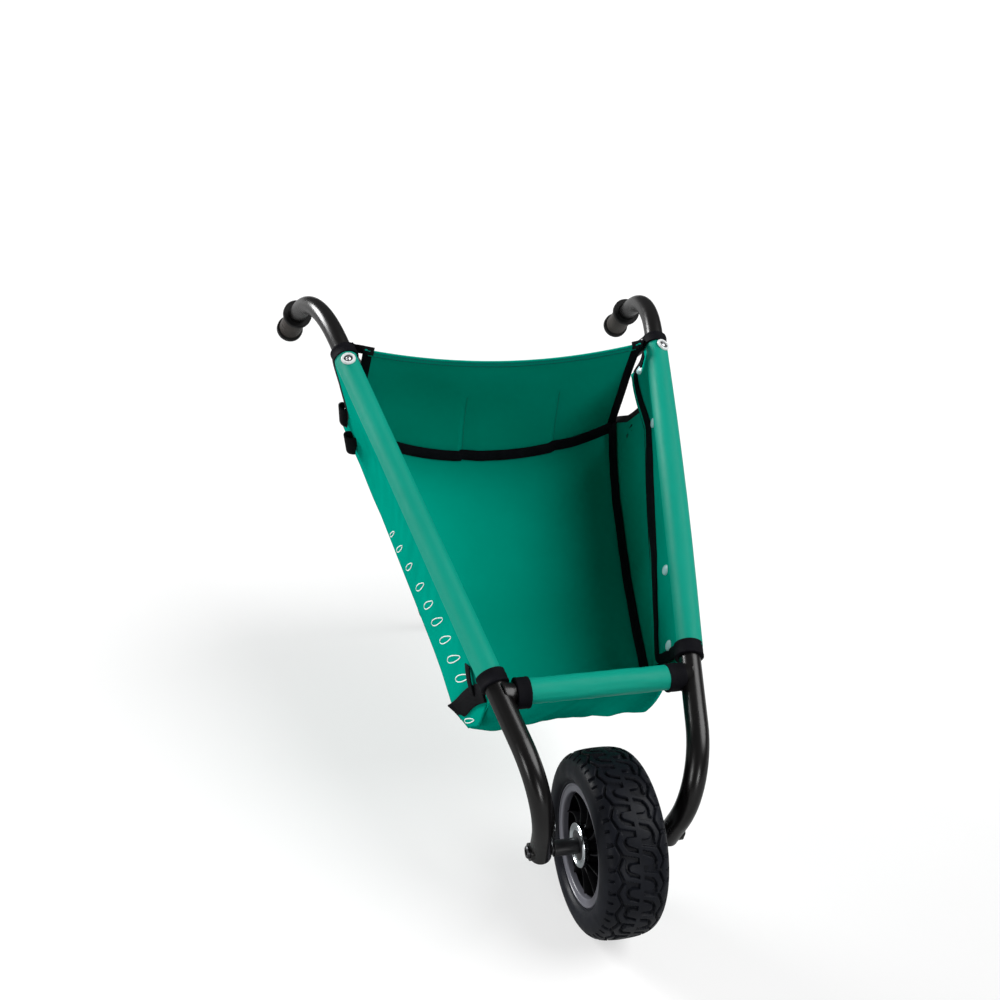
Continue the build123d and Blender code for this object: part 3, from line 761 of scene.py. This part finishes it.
front_sheet = sheet_grid("front_cloth", front_point, 60, 90, CLOTH, ("front_panel",))


FLAP_TOP_HALF = 188.5
DARTS = ((-36, 14), (95, 16))       # place across and lean
DART_TOP, DART_WIDE, DART_TURN, DART_HIGH = 0.62, 26, 3, 4.6


def flap_point(share, height):
    """The rear flap: share from -1 to 1 across, height from 0 at the floor seam to 1 at the hem."""
    low = floor_point(share * 0.985, 489)
    high = trough(share * FLAP_TOP_HALF, 492, 18 - (27 if share < 0 else 31) * share ** 2)
    bulge = (9 * (1 - share ** 2) + 6.0 * waves(41, share * 2.2, height * 1.6)) * math.sin(math.pi * height)
    for across, lean in DARTS:
        gap = share * FLAP_TOP_HALF - across - lean * (0.5 - height)
        reach = DART_HIGH * max(DART_TOP - height, 0.0) / DART_TOP * min(0.25 + height / 0.1, 1.0)
        if 0 < gap < DART_WIDE:
            bulge += reach * (1 - gap / DART_WIDE)
        elif -DART_TURN < gap <= 0:
            bulge += reach * (1 + gap / DART_TURN)
    return low.lerp(high, height) + back * bulge * MM


flap = sheet_grid("rear_flap_cloth", lambda u, v: flap_point(v * 2 - 1, u), 60, 160, CLOTH, ("rear_flap",))


# ---- tapes, hems and stitching ----

def line_on(function, count):
    """The (point, normal) pairs that function(share) gives along a line."""
    return [function(i / (count - 1)) for i in range(count)]


sewn = {"left": [], "right": []}
for name, side in SIDES.items():
    rear, front = SLEEVE_REAR[side] - 4, SLEEVE_FRONT[side] + STRIP_TRIM + 4
    pairs = []
    for depth in (12, 22, 32, 42, 48):
        q = 2 + depth / strip_edge(rear)
        pairs.append((side_point(side, rear - depth * 0.09, q), side_normal(side, rear, q)))
    for k in range(60):
        along = rear - 7 - k * (rear - 7 - front) / 59
        pairs.append(on_side(side, along, 2 + (strip_edge(along) - 4.5) / strip_edge(along)))
    for share in (0.84, 0.64, 0.44, 0.24):
        pairs.append(on_side(side, front - (1 - share) * STRIP_TRIM, 2 + share))
    sewn[name].append(ribbon(f"strip_tape_{name}", pairs, 15.0, 2.8, black_tape, cuts=1, count=150))

    pairs = []
    for k in range(40):
        depth = 8 + (158 - 8) * k / 39
        along = scoop(side, depth) - 3.0
        pairs.append(on_side(side, along, panel_q(along, depth)))
    sewn[name].append(ribbon(f"scoop_tape_{name}", pairs, 11.0, 2.8, grey_tape, cuts=2, count=90))

    pairs = []
    for k in range(80):
        along = 60 + (487 - 60) * k / 79
        half, low = floor_corner(along)
        half -= 6.0 - waves(51, along / 30) * 0.6
        low += droop(side, along) - 4.8
        pairs.append((trough(side * half, along, low), (up * 1.1 - X * side).normalized()))
    sewn[name].append(ribbon(f"floor_seam_tape_{name}", pairs, 12.0, 2.4, black_tape,
                             nodes=(f"floor_binding_{name}",)))

pairs = line_on(
    lambda s: (flap_point((s * 2 - 1) * 0.98, 0.042) - back * 5.6 * MM, (up * 0.8 - back).normalized()), 120)
flap_sewn = [ribbon("flap_seam_tape", pairs, 15.0, 2.6, black_tape, nodes=("flap_binding",))]
for name, side in SIDES.items():
    pairs = line_on(lambda s: (flap_point(side * 0.978, 0.02 + s * 0.975), -back), 60)
    flap_sewn.append(ribbon(f"flap_side_tape_{name}", pairs, 13.0, 2.8, black_tape))
flap_sewn.append(sheet_grid(
    "flap_hem", lambda u, v: flap_point((v * 2 - 1) * 0.975, 0.945 + u * 0.056) - back * 1.3 * MM, 8, 140,
    1.0 * MM))
for number, height in ((1, 0.952), (2, 0.985)):
    pairs = line_on(lambda s: (flap_point((s * 2 - 1) * 0.935, height) - back * 1.9 * MM, -back), 90)
    flap_sewn.append(stitches(f"hem_stitches_{number}", pairs, thread_dark))
# Dart stitches, darker than the cloth: real stitching that also paints each dart's crease shade.
for number, (across, lean) in enumerate(DARTS, 1):
    pairs = line_on(
        lambda s: (flap_point((across + 2 + lean * (0.5 - s * 0.6)) / FLAP_TOP_HALF, 0.03 + s * 0.57)
                   - back * 0.8 * MM, -back), 40)
    flap_sewn.append(stitches(f"dart_stitches_{number}", pairs, thread_green))


# ---- cuffs and the crossbar's sleeve ----

BAND_EDGE = ((0, -0.5), (0.36, 0), (2.25, 0.25), (3.24, -0.2))    # distance in from the edge, and rise


def band_profile(start, end, inner, outer):
    """A cloth band with turned edges."""
    first = [(start + inward, outer + rise) for inward, rise in BAND_EDGE]
    last = [(end - inward, outer + rise) for inward, rise in reversed(BAND_EDGE)]
    return [(start, inner), *first, ((start + end) / 2, outer), *last, (end, inner)]


def cuff_ripple(seed):
    return lambda along, angle: 0.45 * waves(seed, math.cos(angle) * 1.6 + along / 14, math.sin(angle) * 1.6)


CUFFS = (("front", {"left": (9, 25), "right": (22, 39)}, 16.3, 61),
         ("rear", {"left": (494, 509), "right": (506, 522)}, 16.6, 64))
for name, side in SIDES.items():
    for end, places, outer, seed in CUFFS:
        turned(f"{end}_cuff_cloth_{name}", band_profile(*places[name], 12.6, outer), on_tube(side, 0),
               side_run(side), black_tape, "binding_black", ripple=cuff_ripple(seed + side),
               nodes=(f"{end}_cuff_{name}",))

BAR_START, BAR_END = -81.0, 84.0
bar_profile = [(BAR_START, 11.2)] + [(BAR_START + (BAR_END - BAR_START) * k / 40, 14.1) for k in range(41)]
bar_profile.append((BAR_END, 11.2))


def bar_ripple(along, angle):
    return (0.5 * waves(71, along / 30, math.sin(angle) * 1.5 + 3 * math.cos(angle))
            + 0.25 * waves(72, along / 9, angle if angle < math.pi else 2 * math.pi - angle))


bar_sleeve = turned("crossbar_sleeve_cloth", bar_profile, crossbar, X, green_taut, "cloth_green",
                    ripple=bar_ripple, nodes=("crossbar_sleeve",), segments=80)
bar_cuffs = []
for name, (start, end, outer) in {"left": (-94, -78.5, 17.2), "right": (81, 101, 15.8)}.items():
    bar_cuffs.append(turned(
        f"crossbar_cuff_cloth_{name}", band_profile(start, end, 11.6, outer),
        crossbar - up * (outer - 14.6) * MM, X, black_tape, "binding_black",
        ripple=cuff_ripple(75 + SIDES[name]), nodes=(f"crossbar_cuff_{name}",)))


# ---- studs, rings and rivets ----

STUDS = ((488, 38), (382, 24), (161, 37), (62, 45))      # along and depth
STUD_PROFILE = [(-1.5, 6.8), (1.2, 6.8), (1.9, 6.4), (2.5, 5.4), (2.7, 4.4), (3.0, 3.2), (3.2, 1.6),
                (3.25, 0)]
studs = {}
for name, side in SIDES.items():
    studs[name] = []
    for number, (along, depth) in enumerate(STUDS, 1):
        q = 2 + depth / strip_edge(along)
        normal = (up * 0.22 - outward(side, along, q)).normalized()
        seat = side_point(side, along, q) + normal * 0.4 * MM
        studs[name].append(turned(
            f"press_stud_{name}_{number}", STUD_PROFILE, seat, normal, stud_plastic, "stud_pale", segments=32,
            nodes=(f"press_studs_{name}",) if number == 1 else ()))

RING_PLACE = {"left": 471, "right": 487}
RING_LEAN = {"left": math.radians(-9), "right": math.radians(21)}
RING_PROFILE = [(0, 5.7), (1.8, 5.7), (2.4, 6.1), (2.7, 7.0), (2.5, 8.2), (1.7, 9.0), (0.3, 9.3), (0, 9.3)]
RIVET_PROFILE = [(-0.6, 3.5), (0.9, 3.5), (1.3, 3.3), (1.8, 2.7), (2.2, 1.8), (2.4, 0.9), (2.45, 0)]
rings = {}
for name, side in SIDES.items():
    lean = Matrix.Rotation(RING_LEAN[name], 3, "Y") @ up
    seat = on_tube(side, RING_PLACE[name]) + X * side * SLEEVE_SHIFT * MM + lean * 15.0 * MM
    rings[name] = [
        turned(f"ring_{name}", RING_PROFILE, seat, lean, ring_plastic, "ring_white", segments=56,
               nodes=(f"collar_ring_{name}",)),
        turned(f"rivet_{name}", RIVET_PROFILE, seat, lean, chrome, "rivet_chrome", segments=40,
               nodes=(f"collar_rivet_{name}",)),
        # Painted shade: a black seat under the rivet stands for the shadow inside the ring's hole.
        turned(f"ring_shadow_seat_{name}", [(-0.8, 6.4), (0.6, 6.4), (0.65, 3.2)], seat, lean, spacer_black,
               "binding_black", segments=40),
    ]


# ---- straps and loops ----

LOOPS = ((457, 82, 0.62), (438, 119, 1.0))      # along, depth and how far it stands out
LOOP_SHAPE = ((1.2, -5.5), (5, -6.0), (9.5, -5.4), (12.2, -3.2), (13, 0), (12.2, 3.2), (9.5, 5.4), (5, 6.0),
              (1.2, 5.5))
LOOP_COUNT = 36
straps = {}
for name, side in SIDES.items():
    pairs = []
    for k in range(26):
        share = k / 25
        pairs.append(off_panel(side, 24 + share * 32 + 3 * math.sin(share * 5), 38 + share * 100, 2.2))
    half, depth = floor_corner(58)
    for across, low in ((-4, 8), (-16, 8), (-34, 7)):
        pairs.append((trough(side * (half + across), 58, depth + low + droop(side, 58)), -up))
    wide = ribbon(f"corner_strap_wide_{name}", pairs, 23, 2.4, webbing, "webbing_black",
                  nodes=(f"corner_strap_{name}",), cuts=1, count=60)
    pairs = []
    for k in range(14):
        share = k / 13
        pairs.append(off_panel(side, 60 - share * 22, 40 + share * 26, 3.6 + 1.5 * math.sin(math.pi * share)))
    straps[name] = [wide, ribbon(f"corner_strap_tail_{name}", pairs, 12, 1.8, webbing, "webbing_black")]

    for number, (along, depth, stand) in enumerate(LOOPS, 1):
        q = panel_q(along, depth)
        base = side_point(side, along, q)
        down = (side_point(side, along, q - 0.1) - side_point(side, along, q + 0.1)).normalized()
        line = [base + X * side * out * stand * MM + side_run(side) * run * MM for out, run in LOOP_SHAPE]
        line = even_points(cut_corners(line, 2), LOOP_COUNT)
        pairs = []
        for k, point in enumerate(line):
            before, after = line[max(k - 1, 0)], line[min(k + 1, LOOP_COUNT - 1)]
            pairs.append((point, (after - before).cross(down).normalized()))
        straps[name].append(ribbon(f"rear_loop_{name}_{number}", pairs, 34, 3.0, webbing, "webbing_black",
                                   nodes=(f"rear_tabs_{name}",) if number == 1 else ()))

    corner = flap_point(side * 0.985, 0.985)
    collar = on_tube(side, 505) - up * 2 * MM - X * side * 15 * MM
    line = [corner - X * side * 9 * MM - back * 1.5 * MM, corner + up * MM,
            corner.lerp(collar, 0.5) + up * MM, collar, collar + X * side * 4 * MM + up * 5 * MM]
    normal = (up * 0.6 - back * 0.8).normalized()
    straps[name].append(ribbon(f"flap_tie_{name}", [(point, normal) for point in line], 11, 2.2, webbing,
                               "webbing_black", cuts=2, count=30))


# ---- printed outlines and eyelet ----

# Each leaf's place along, depth and size.
LEAVES = ((306, 138, 0.6), (279, 132, 0.75), (243, 119, 0.85), (206, 108, 0.95), (175, 100, 1.0),
          (147, 93, 1.0), (119, 88, 1.0), (91, 83, 1.0), (64, 78, 1.0), (29, 113, 0.62))
LEAF_RISE = (-0.397, 0.918)     # a leaf's long way, along and upward
LEAF_LONG, LEAF_WIDE, LEAF_POINTS = 25, 3.6, 36
leaves = {}
for name, side in SIDES.items():
    leaves[name] = []
    for number, (along, depth, size) in enumerate(LEAVES, 1):
        along = max(along, 52 if side > 0 else 0)
        pairs = []
        for k in range(LEAF_POINTS):
            angle = 2 * math.pi * k / LEAF_POINTS
            long_way = LEAF_LONG * size * math.cos(angle)
            wide_way = LEAF_WIDE * size * math.sin(angle) * (1 - 0.35 * math.cos(angle))
            place = along + LEAF_RISE[0] * long_way - LEAF_RISE[1] * wide_way
            low = depth - LEAF_RISE[1] * long_way - LEAF_RISE[0] * wide_way
            pairs.append(off_panel(side, place, low, 0.75))
        leaves[name].append(ribbon(f"print_{name}_{number}", pairs, 1.25, 0.3, print_white, "cloth_green",
                                   closed=True))

EYELET_PROFILE = [(-1.1, 1.6), (-1.2, 2.2), (-1.0, 3.0), (0.0, 3.2), (1.0, 3.0), (1.2, 2.2), (1.1, 1.6),
                  (-1.1, 1.6)]
eyelets = {}
for name, side in SIDES.items():
    eyelets[name] = turned(f"eyelet_{name}", EYELET_PROFILE, *on_side(side, 436, panel_q(436, 118)),
                           spacer_black, "binding_black", segments=28)


for name in SIDES:
    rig.sheet(side_cloths[name], flat=(0.49, 0.29), area=0.126, held="stretched",
             rests_on=[f"side_tube_{name}"],
             with_pieces=(sewn[name] + studs[name] + rings[name] + leaves[name] + [eyelets[name]]
                          + straps[name][:4]))
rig.sheet(floor_sheet, flat=(0.40, 0.43), area=0.138, held="hung",
         rests_on=["side_cloth_left", "side_cloth_right"])
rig.sheet(front_sheet, flat=(0.253, 0.165), area=0.037, held="hung", rests_on=["front_crossbar"])
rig.sheet(flap, flat=(0.39, 0.19), area=0.070, held="hung", rests_on=["side_tube_left", "side_tube_right"],
         with_pieces=flap_sewn)
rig.sheet(bar_sleeve, flat=(0.090, 0.165), held="stretched", rests_on=["front_crossbar"],
         with_pieces=bar_cuffs)


# ---- grips, tubes and stand ----

GRIP_BORE = 12.6
FLANGE = [(0, GRIP_BORE), (0, 19.2), (0.8, 20.0), (2.0, 20.0), (2.4, 19.3), (2.8, 20.0), (4.4, 20.0),
          (4.8, 19.3), (5.2, 20.0), (6.6, 19.9), (7.2, 18.8), (7.5, 15.9), (7.5, GRIP_BORE)]
CAP = [(59.0, GRIP_BORE), (59.0, 15.9), (59.4, 17.6), (60.4, 18.6), (62.2, 18.6), (62.6, 18.0), (63.0, 18.6),
       (66.6, 18.6), (68.2, 17.9), (69.0, 16.2), (69.2, 12.0), (68.4, 10.5), (68.4, 0)]
RIB = ((7.8, 15.55), (8.5, 15.7), (9.0, 15.7), (9.6, 15.45))
ribbed = [(7.3, GRIP_BORE), (7.3, 15.4)]
for k in range(26):
    ribbed += [(along + k * 2.0, radius) for along, radius in RIB]
ribbed += [(59.6, 15.4), (59.6, GRIP_BORE)]
for name, side in SIDES.items():
    lean = Vector((side * 15.5, 136.5, -113.5)).normalized()
    start = middle_of(f"grip_{name}") - lean * 34.5 * MM
    turned(f"grip_flange_{name}", FLANGE, start, lean, grip_rubber, "grip_rubber", nodes=(f"grip_{name}",))
    turned(f"grip_body_{name}", ribbed, start, lean, grip_sleeve, "grip_rubber")
    turned(f"grip_cap_{name}", CAP, start, lean, grip_rubber, "grip_rubber")

node_finishes = {
    "side_tube": paint, "front_crossbar": paint, "stand_leg": paint, "axle_boss": paint, "fork_plug": paint,
    "axle": dark_steel, "fork_screw": dark_steel, "axle_spacer": spacer_black, "stand_foot": foot_rubber,
    "bearing_inner_race": bearing_steel, "bearing_outer_race": bearing_steel, "bearing_balls": bearing_steel,
    "stand_spigot": bearing_steel,
}
for node, obj in frame["nodes"].items():
    stem = node.replace("_left", "").replace("_right", "")
    if stem in node_finishes:
        obj.data.materials[0] = node_finishes[stem]

WELD_RINGS, WELD_SIDES = 9, 64
for name, side in SIDES.items():
    made = []
    for i in range(WELD_RINGS):
        share = i / (WELD_RINGS - 1)
        flare = share ** 1.8
        for k in range(WELD_SIDES):
            angle = 2 * math.pi * k / WELD_SIDES
            lump = 0.35 * waves(81 + side, math.cos(angle) * 4, math.sin(angle) * 4)
            radius = 11.15 + flare * (3.6 + lump)
            height = radius * math.sin(angle)
            reach = tube_half(0) - math.sqrt(max(12.5 ** 2 - height ** 2 * 0.9, 4.0)) * 1.02
            across = reach - (1 - share) ** 1.6 * 7.0 + toe_out * radius * math.cos(angle)
            made.append(trough(side * across, radius * math.cos(angle), -height))
    faces = grid_faces(WELD_RINGS, WELD_SIDES, wrap_columns=True)
    piece(f"crossbar_weld_{name}", made, flipped(faces) if side > 0 else faces, paint, "frame_black")


# ---- wheel ----

hub = middle_of("axle")
tyre_low, tyre_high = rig.box("tyre")
wheel_radius = (tyre_high[2] - tyre_low[2]) / 2 / MM
REPEATS = 24            # of the tread's pattern
rows_in_repeat = 20 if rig.quick() else 34
pitch_mm = 2 * math.pi * wheel_radius / REPEATS

# The tread's blocks, as outlines in mm across and around the tyre. Beyond WAVE the shoulder begins.
TOOTH = ((1.5, -2.2), (10.9, -2.4), (13.1, -0.8), (14.0, 1.5), (13.4, 4.0), (11.9, 5.7), (3.9, 9.6),
         (1.5, 10.2))
HOOK = ((16.6, -6.0), (17.6, -8.0), (19.2, -8.2), (20.6, -5.8), (23.6, 0.6), (23.5, 3.4), (18.6, 14.4),
        (4.2, 18.3), (1.5, 18.6), (1.5, 14.4), (3.9, 13.4), (12.6, 10.6), (16.2, 5.6), (17.4, 1.6),
        (16.9, -2.4))
WAVE = ((-11.3, 21.4), (-8.0, 22.4), (-0.5, 26.6), (3.6, 26.4), (15.1, 21.4))


def on_wheel(x, radius, angle):
    """A point by mm across, radius in mm and angle round the axle."""
    return Vector((x * MM, hub.y - radius * MM * math.cos(angle), hub.z - radius * MM * math.sin(angle)))


def polygon_distance(a, b, polygon):
    """Distance inside a polygon, negative outside, for arrays of points."""
    corners = np.array(polygon)
    inside = np.zeros(a.shape, bool)
    nearest = np.full(a.shape, 1e9)
    for (x0, y0), (x1, y1) in zip(corners, np.roll(corners, -1, axis=0)):
        dx, dy = x1 - x0, y1 - y0
        share = np.clip(((a - x0) * dx + (b - y0) * dy) / (dx * dx + dy * dy), 0, 1)
        nearest = np.minimum(nearest, np.hypot(a - x0 - share * dx, b - y0 - share * dy))
        crosses = (y0 > b) != (y1 > b)
        with np.errstate(divide="ignore", invalid="ignore"):
            inside ^= crosses & (a < (x1 - x0) * (b - y0) / (y1 - y0 if y1 != y0 else 1e-9) + x0)
    return np.where(inside, nearest, -nearest)


def tread_height(lateral, around):
    """How far the tread stands, 0 on a block and negative in a groove, in mm."""
    a = np.abs(lateral)
    b = (np.where(lateral < 0, around, -1.1 - around) + 11.3) % pitch_mm - 11.3
    solid = 2.6 - a
    for shift in (-pitch_mm, 0.0, pitch_mm):
        solid = np.maximum(solid, polygon_distance(a, b + shift, TOOTH))
        solid = np.maximum(solid, polygon_distance(a, b + shift, HOOK))
    wave = np.interp(b, [row[0] for row in WAVE], [row[1] for row in WAVE], period=pitch_mm)
    notch = np.maximum(np.abs(b - 3.3) - 2.0 - (a - 30) * 0.08, 27.5 - a)
    late_notch = np.maximum(np.abs((b - 15.1 + pitch_mm / 2) % pitch_mm - pitch_mm / 2) - 1.3, 29.5 - a)
    shoulder = np.minimum(np.minimum((a - wave) * 0.85, notch), late_notch)
    solid = np.maximum(solid, shoulder)
    solid = np.where(a > 36.5, 1.0, np.where(a > 34.5, np.maximum(solid, a - 35.5), solid))
    rise = np.clip((solid + 0.40) / 0.85, 0, 1)
    rise = rise * rise * (3 - 2 * rise)
    deep = np.interp(a, [0, 24, 30, 36], [3.8, 3.6, 3.0, 1.6])
    return -(1 - rise) * deep


outline = [Vector((x, r, 0)) for x, r in (
    (0, 101), (8, 100.9), (17, 100.2), (25, 98.4), (31, 94.8), (35.0, 89.0), (36.8, 82), (37, 76), (35.6, 71),
    (32.6, 68.6), (31.0, 66.2))]
outline = cut_corners(outline, 3)
lengths = [0.0]
for first, second in zip(outline, outline[1:]):
    lengths.append(lengths[-1] + (second - first).length)
reach = [float(value) for value in np.concatenate([
    np.arange(0, 37, 1.1 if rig.quick() else 0.72), np.arange(37.5, lengths[-1], 1.8), [lengths[-1]]])]
lateral = np.array([-value for value in reversed(reach[1:])] + reach)
profile_x = np.interp(np.abs(lateral), lengths, [p.x for p in outline]) * np.sign(lateral)
profile_r = np.interp(np.abs(lateral), lengths, [p.y for p in outline])
rows = REPEATS * rows_in_repeat
around = (np.arange(rows_in_repeat) / rows_in_repeat) * pitch_mm
heights = np.array([tread_height(lateral, np.full(lateral.shape, b)) for b in around])
slope_x = np.gradient(profile_x, lateral)
slope_r = np.gradient(profile_r, lateral)
points = []
for i in range(rows):
    drop = heights[i % rows_in_repeat]
    angle = 2 * math.pi * i / rows
    across = profile_x + drop * -slope_r
    radial = profile_r + drop * slope_x
    points += [on_wheel(x, r, angle) for x, r in zip(across, radial)]
columns = len(lateral)
faces = grid_faces(rows, columns, wrap_rows=True)
inner = len(points)
SEAT_HALF, SEAT_RADIUS = 31.0, 65.9
for i in range(rows):
    points += [on_wheel(x, SEAT_RADIUS, 2 * math.pi * i / rows) for x in (SEAT_HALF, -SEAT_HALF)]
for i in range(rows):
    following = (i + 1) % rows
    first, second = i * columns, following * columns
    a, b, c, d = inner + 2 * i, inner + 2 * i + 1, inner + 2 * following, inner + 2 * following + 1
    faces += [(first + columns - 1, a, c, second + columns - 1), (a, b, d, c), (b, first, second, d)]
crisp(piece("tyre_tread", points, faces, tread_rubber, "tyre", body="wheel", nodes=("tyre",)), 60)

for name, side in SIDES.items():
    out = X * side
    turned(f"bead_line_{name}", [(31.2, 66.3), (32.2, 66.6), (32.7, 67.4), (32.6, 68.2), (31.6, 68.6)],
           hub, out, tread_rubber, "tyre", body="wheel", segments=160)
    turned(f"rim_ring_grey_{name}",
           [(24.0, 65.8), (31.0, 65.8), (31.9, 65.2), (31.9, 64.0), (31.2, 63.5), (30.9, 62.8), (31.1, 58.0),
            (30.7, 56.9), (29.9, 56.3), (28.6, 56.0), (24.0, 55.8)],
           hub, out, rim_grey, "rim_silver", body="wheel", segments=160, nodes=(f"rim_ring_{name}",))
    turned(f"hub_cup_plate_{name}",
           [(28.8, 23.6), (29.0, 24.0), (33.4, 24.0), (34.0, 23.4), (33.8, 22.4), (32.6, 21.4), (31.9, 19.6),
            (32.1, 17.8), (33.0, 16.9), (33.4, 16.2), (32.6, 15.9)],
           hub, out, zinc, "hub_zinc", body="wheel", segments=96, nodes=(f"hub_cup_{name}",))
    turned(f"bearing_seal_{name}",
           [(33.1, 15.9), (33.3, 15.4), (33.1, 12.6), (33.4, 12.0), (33.4, 9.3), (32.9, 9.2)],
           hub, out, spacer_black, "spacer_black", body="wheel")

turned("rim_barrel",
       [(-28.4, 65.9), (-28.4, 57.0), (-26.0, 56.4), (-8.0, 60.5), (0, 61.0), (8.0, 60.5), (26.0, 56.4),
        (28.4, 57.0), (28.4, 65.9)],
       hub, X, rim_black, "rim_black", body="wheel", segments=160, nodes=("wheel_rim",))
turned("rim_hub",
       [(-29.0, 16.1), (-29.2, 20.6), (-28.4, 21.4), (-12.0, 23.0), (-4.5, 25.0), (-3.5, 30), (-3.0, 61.5),
        (3.0, 61.5), (3.5, 30), (4.5, 25.0), (12.0, 23.0), (28.4, 21.4), (29.2, 20.6), (29.0, 16.1)],
       hub, X, rim_black, "rim_black", body="wheel", segments=96)
SPOKES, SPOKE_STEPS, SPOKE_LINES = 10, 15, 6
for name, side in SIDES.items():
    made, faces = [], []
    for spoke in range(SPOKES):
        base_angle = 2 * math.pi * (spoke + (0.0 if side > 0 else 0.5)) / SPOKES
        start = len(made)
        for k in range(SPOKE_STEPS):
            share = k / (SPOKE_STEPS - 1)
            radius = 21.5 + share * 37.5
            angle = base_angle + side * 0.42 * share ** 1.3
            high = 28.5 - 3.0 * math.sin(math.pi * share) - share * 2.0
            half = (0.9 + 0.5 * abs(share - 0.5)) / radius
            for offset, top in ((-1.35, 2.8), (-1.0, high - 0.7), (-0.45, high), (0.45, high),
                                (1.0, high - 0.7), (1.35, 2.8)):
                made.append(on_wheel(side * top, radius, angle + offset * half))
        rib = [tuple(start + corner for corner in face) for face in grid_faces(SPOKE_STEPS, SPOKE_LINES)]
        faces += rib if side > 0 else flipped(rib)
    crisp(piece(f"rim_spokes_{name}", made, faces, rim_black, "rim_black", body="wheel"), 40)


# ---- studio ----

world = bpy.data.worlds.new("studio")
bpy.context.scene.world = world
world.use_nodes = True
sky = world.node_tree
background = sky.nodes["Background"]
sky_place, sky_split, sky_fade, sky_seen, sky_mix = (sky.nodes.new("ShaderNode" + kind) for kind in (
    "TexCoord", "SeparateXYZ", "MapRange", "LightPath", "Mix"))
for node, socket, value in ((sky_fade, "To Min", 0.04), (sky_fade, "To Max", 0.20), (sky_mix, "B", 1.0),
                            (background, "Color", (1, 1, 1, 1))):
    node.inputs[socket].default_value = value
for source, out, node, into in (
        (sky_place, "Generated", sky_split, "Vector"), (sky_split, "Z", sky_fade, "Value"),
        (sky_seen, "Is Camera Ray", sky_mix, "Factor"), (sky_fade, "Result", sky_mix, "A"),
        (sky_mix, "Result", background, "Strength")):
    sky.links.new(source.outputs[out], node.inputs[into])


def sun(name, toward, spread, strength):
    """A far soft light. toward is the direction to it, spread its width in degrees."""
    data = bpy.data.lights.new(name, "SUN")
    data.energy = strength
    data.angle = math.radians(spread)
    light = bpy.data.objects.new(name, data)
    light.rotation_euler = Vector(toward).to_track_quat("Z", "Y").to_euler()
    bpy.context.scene.collection.objects.link(light)


sun("key", (0.60, -0.22, 0.77), 46, 2.75)
sun("left", (-0.88, -0.40, 0.20), 18, 0.7)
sun("front", (0.08, -0.96, 0.22), 14, 0.7)
sun("rim", (-0.66, 0.68, 0.32), 24, 3.6)

floor_finish = Finish("studio_floor", (0.42, 0.42, 0.42), 0.9)
floor_finish.shader.inputs["Emission Color"].default_value = (1, 1, 1, 1)
floor_seen = floor_finish.node("ShaderNodeLightPath").outputs["Is Camera Ray"]
floor_glow = floor_finish.spread(floor_seen, 0, 1, 0.0, 0.54)
floor_finish.link(floor_glow, floor_finish.shader.inputs["Emission Strength"])
floor_finish.vary_rough(3.0, 0.02)
bpy.ops.mesh.primitive_plane_add(size=60, location=(0, 0, 0))
floor = bpy.context.object
floor.name = "floor"
floor.data.materials.append(floor_finish.material)
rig.stage(floor)

with open("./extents.json", "w") as out_file:
    json.dump({"cad": cad_box, "visual": [list(corner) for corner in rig.bounds()]}, out_file)
